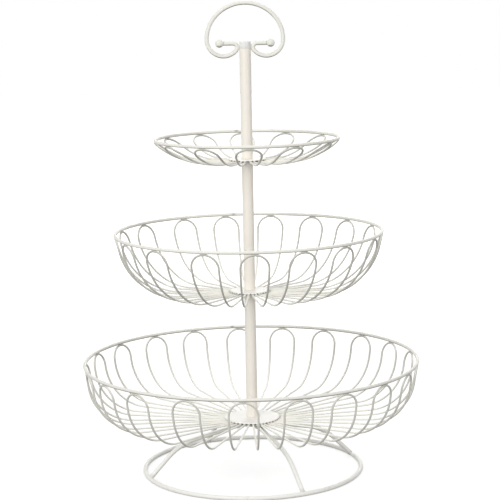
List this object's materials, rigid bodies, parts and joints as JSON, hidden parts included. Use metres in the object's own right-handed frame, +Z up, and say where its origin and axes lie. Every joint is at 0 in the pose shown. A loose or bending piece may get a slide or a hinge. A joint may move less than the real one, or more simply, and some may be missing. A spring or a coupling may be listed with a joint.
{
  "type": "tiered fruit basket stand",
  "caption": "Free-standing tiered wire fruit stand: round looped-wire bowls on a central pole, with a scroll carrying handle on top and a ring base on bent legs.",
  "frame": {"origin": "centre of the base ring, on the plane that it stands on", "axes": "+Z up along the pole; +X to the right as seen from the front; the front faces -Y"},
  "size_m": [0.3308, 0.3314, 0.461],
  "materials": {
    "stand_paint": "ivory satin powder coat",
    "bowl_paint": "ivory satin powder coat on wire",
    "collar_paint": "pale grey-white satin paint",
    "fastener_steel": "zinc plated"
  },
  "bodies": {
    "stand": {"base_ring": "stand_paint", "base_leg_front": "stand_paint", "base_leg_right": "stand_paint", "base_leg_back": "stand_paint", "base_leg_left": "stand_paint", "base_plate": "stand_paint", "base_spacer": "fastener_steel", "base_bolt": "fastener_steel", "lower_pole": "stand_paint", "lower_pole_foot_insert": "fastener_steel", "lower_pole_stud": "fastener_steel", "middle_pole": "stand_paint", "middle_pole_foot_insert": "fastener_steel", "middle_pole_stud": "fastener_steel", "upper_pole": "stand_paint", "upper_pole_foot_insert": "fastener_steel", "upper_pole_top_insert": "fastener_steel", "handle_collar": "collar_paint", "handle_scroll": "stand_paint", "handle_ball_right": "stand_paint", "handle_ball_left": "stand_paint"},
    "bottom_bowl": {"bottom_rim": "bowl_paint", "bottom_petals": "bowl_paint", "bottom_hub_disc": "bowl_paint"},
    "middle_bowl": {"middle_rim": "bowl_paint", "middle_petals": "bowl_paint", "middle_hub_disc": "bowl_paint"},
    "top_bowl": {"top_rim": "bowl_paint", "top_petals": "bowl_paint", "top_hub_disc": "bowl_paint"}
  },
  "joints": [
    {"name": "bottom_bowl_turn", "type": "hinge", "parent": "stand", "child": "bottom_bowl", "pos_m": [0, 0, 0.05245], "axis": [0, 0, 1], "continuous": true},
    {"name": "middle_bowl_turn", "type": "hinge", "parent": "stand", "child": "middle_bowl", "pos_m": [0, 0, 0.17995], "axis": [0, 0, 1], "continuous": true},
    {"name": "top_bowl_turn", "type": "hinge", "parent": "stand", "child": "top_bowl", "pos_m": [0, 0, 0.30905], "axis": [0, 0, 1], "continuous": true}
  ]
}
